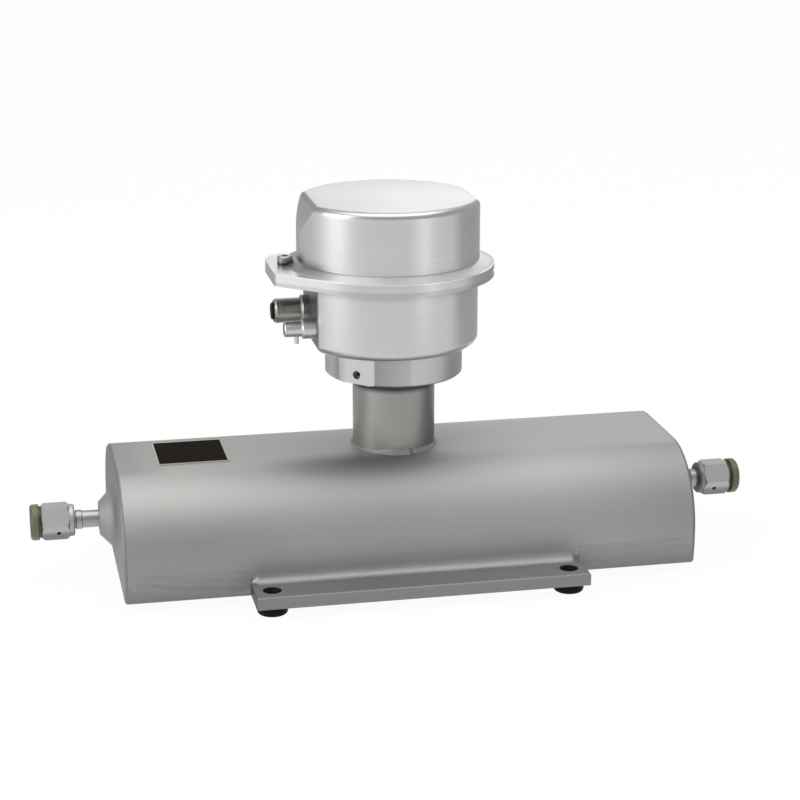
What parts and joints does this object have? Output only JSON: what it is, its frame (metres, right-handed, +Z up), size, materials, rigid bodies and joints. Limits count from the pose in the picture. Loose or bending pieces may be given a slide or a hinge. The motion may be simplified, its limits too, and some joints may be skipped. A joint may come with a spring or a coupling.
{
  "type": "coriolis flow meter",
  "caption": "Compact low-flow Coriolis mass flow meter: arched steel sensor body on rails and rubber feet, neck, rotatable electronics head with lift-off lid, plug connectors, capped tube ends.",
  "frame": {"origin": "on the floor under the rubber feet, below the neck axis, at the centre of the footprint", "axes": "+X along the measuring line to the right in the picture, +Y to the back, +Z up through the neck"},
  "size_m": [0.356, 0.154, 0.1803],
  "materials": {
    "sheet_steel": "bead-blasted stainless sheet",
    "neck_steel": "matte stainless tube",
    "rail_steel": "blasted stainless bar",
    "weld_steel": "ground weld",
    "head_metal": "satin turned stainless",
    "nut_steel": "satin stainless",
    "line_steel": "drawn stainless tube",
    "inner_steel": "machined stainless",
    "screw_steel": "dark stainless",
    "connector_metal": "dark nickel plate",
    "socket_metal": "satin nickel plate",
    "rubber": "matte black rubber",
    "seal": "black seal rubber",
    "cap_plastic": "olive polyethylene",
    "black_plastic": "black moulded plastic",
    "terminal_plastic": "green moulded plastic",
    "plate_black": "black printed plate with a pale edge",
    "board": "glass-fibre circuit board",
    "chips": "moulded electronic parts",
    "copper": "enamelled copper winding",
    "magnet": "nickel-plated magnet",
    "glass_seal": "fused glass and pins"
  },
  "bodies": {
    "sensor": {"shell": "sheet_steel", "bottom_pan": "sheet_steel", "end_plates": "sheet_steel", "rails": "rail_steel", "rail_beads": "weld_steel", "feet": "rubber", "nameplate": "plate_black", "neck": "neck_steel", "neck_bead": "weld_steel", "neck_ring": "seal", "feedthrough": "glass_seal", "base_frame": "inner_steel", "manifolds": "inner_steel", "manifold_screws": "screw_steel", "loops": "line_steel", "braces": "inner_steel", "saddles": "inner_steel", "drive_coil": "copper", "drive_magnet": "magnet", "pickoff_coils": "copper", "pickoff_magnets": "magnet", "temperature_probe": "line_steel", "line_tubes": "line_steel"},
    "head": {"collar": "head_metal", "housing": "head_metal", "gasket": "seal", "m12_shell": "connector_metal", "m12_insert": "black_plastic", "aux_socket": "socket_metal", "connector_nuts": "connector_metal", "lower_board": "board", "upper_board": "board", "board_posts": "socket_metal", "board_parts": "chips", "terminal_block": "terminal_plastic"},
    "lid_body": {"lid": "head_metal"},
    "lid_screw_body": {"lid_screw": "screw_steel"},
    "set_screw_body": {"set_screw": "screw_steel"},
    "nut_right_body": {"nut_right": "nut_steel"},
    "nut_left_body": {"nut_left": "nut_steel"},
    "cap_right_body": {"cap_right": "cap_plastic"},
    "cap_left_body": {"cap_left": "cap_plastic"}
  },
  "joints": [
    {"name": "head_swivel", "type": "hinge", "parent": "sensor", "child": "head", "pos_m": [0, 0, 0.1055], "axis": [0, 0, 1], "range_deg": [-175, 175]},
    {"name": "set_screw_turn", "type": "hinge", "parent": "head", "child": "set_screw_body", "pos_m": [0, 0, 0.0989], "axis": [-0.7071, -0.7071, 0], "continuous": true},
    {"name": "lid_lift", "type": "slide", "parent": "head", "child": "lid_body", "axis": [0, 0, 1], "range_m": [0, 0.06]},
    {"name": "lid_screw_turn", "type": "hinge", "parent": "lid_body", "child": "lid_screw_body", "pos_m": [-0.0522, 0.003, 0.1487], "axis": [0, 0, 1], "continuous": true},
    {"name": "nut_right_spin", "type": "hinge", "parent": "sensor", "child": "nut_right_body", "pos_m": [0.165, 0, 0.028], "axis": [1, 0, 0], "continuous": true},
    {"name": "nut_left_spin", "type": "hinge", "parent": "sensor", "child": "nut_left_body", "pos_m": [-0.165, 0, 0.028], "axis": [-1, 0, 0], "continuous": true},
    {"name": "cap_right_pull", "type": "slide", "parent": "nut_right_body", "child": "cap_right_body", "axis": [1, 0, 0], "range_m": [0, 0.025]},
    {"name": "cap_left_pull", "type": "slide", "parent": "nut_left_body", "child": "cap_left_body", "axis": [-1, 0, 0], "range_m": [0, 0.025]}
  ]
}
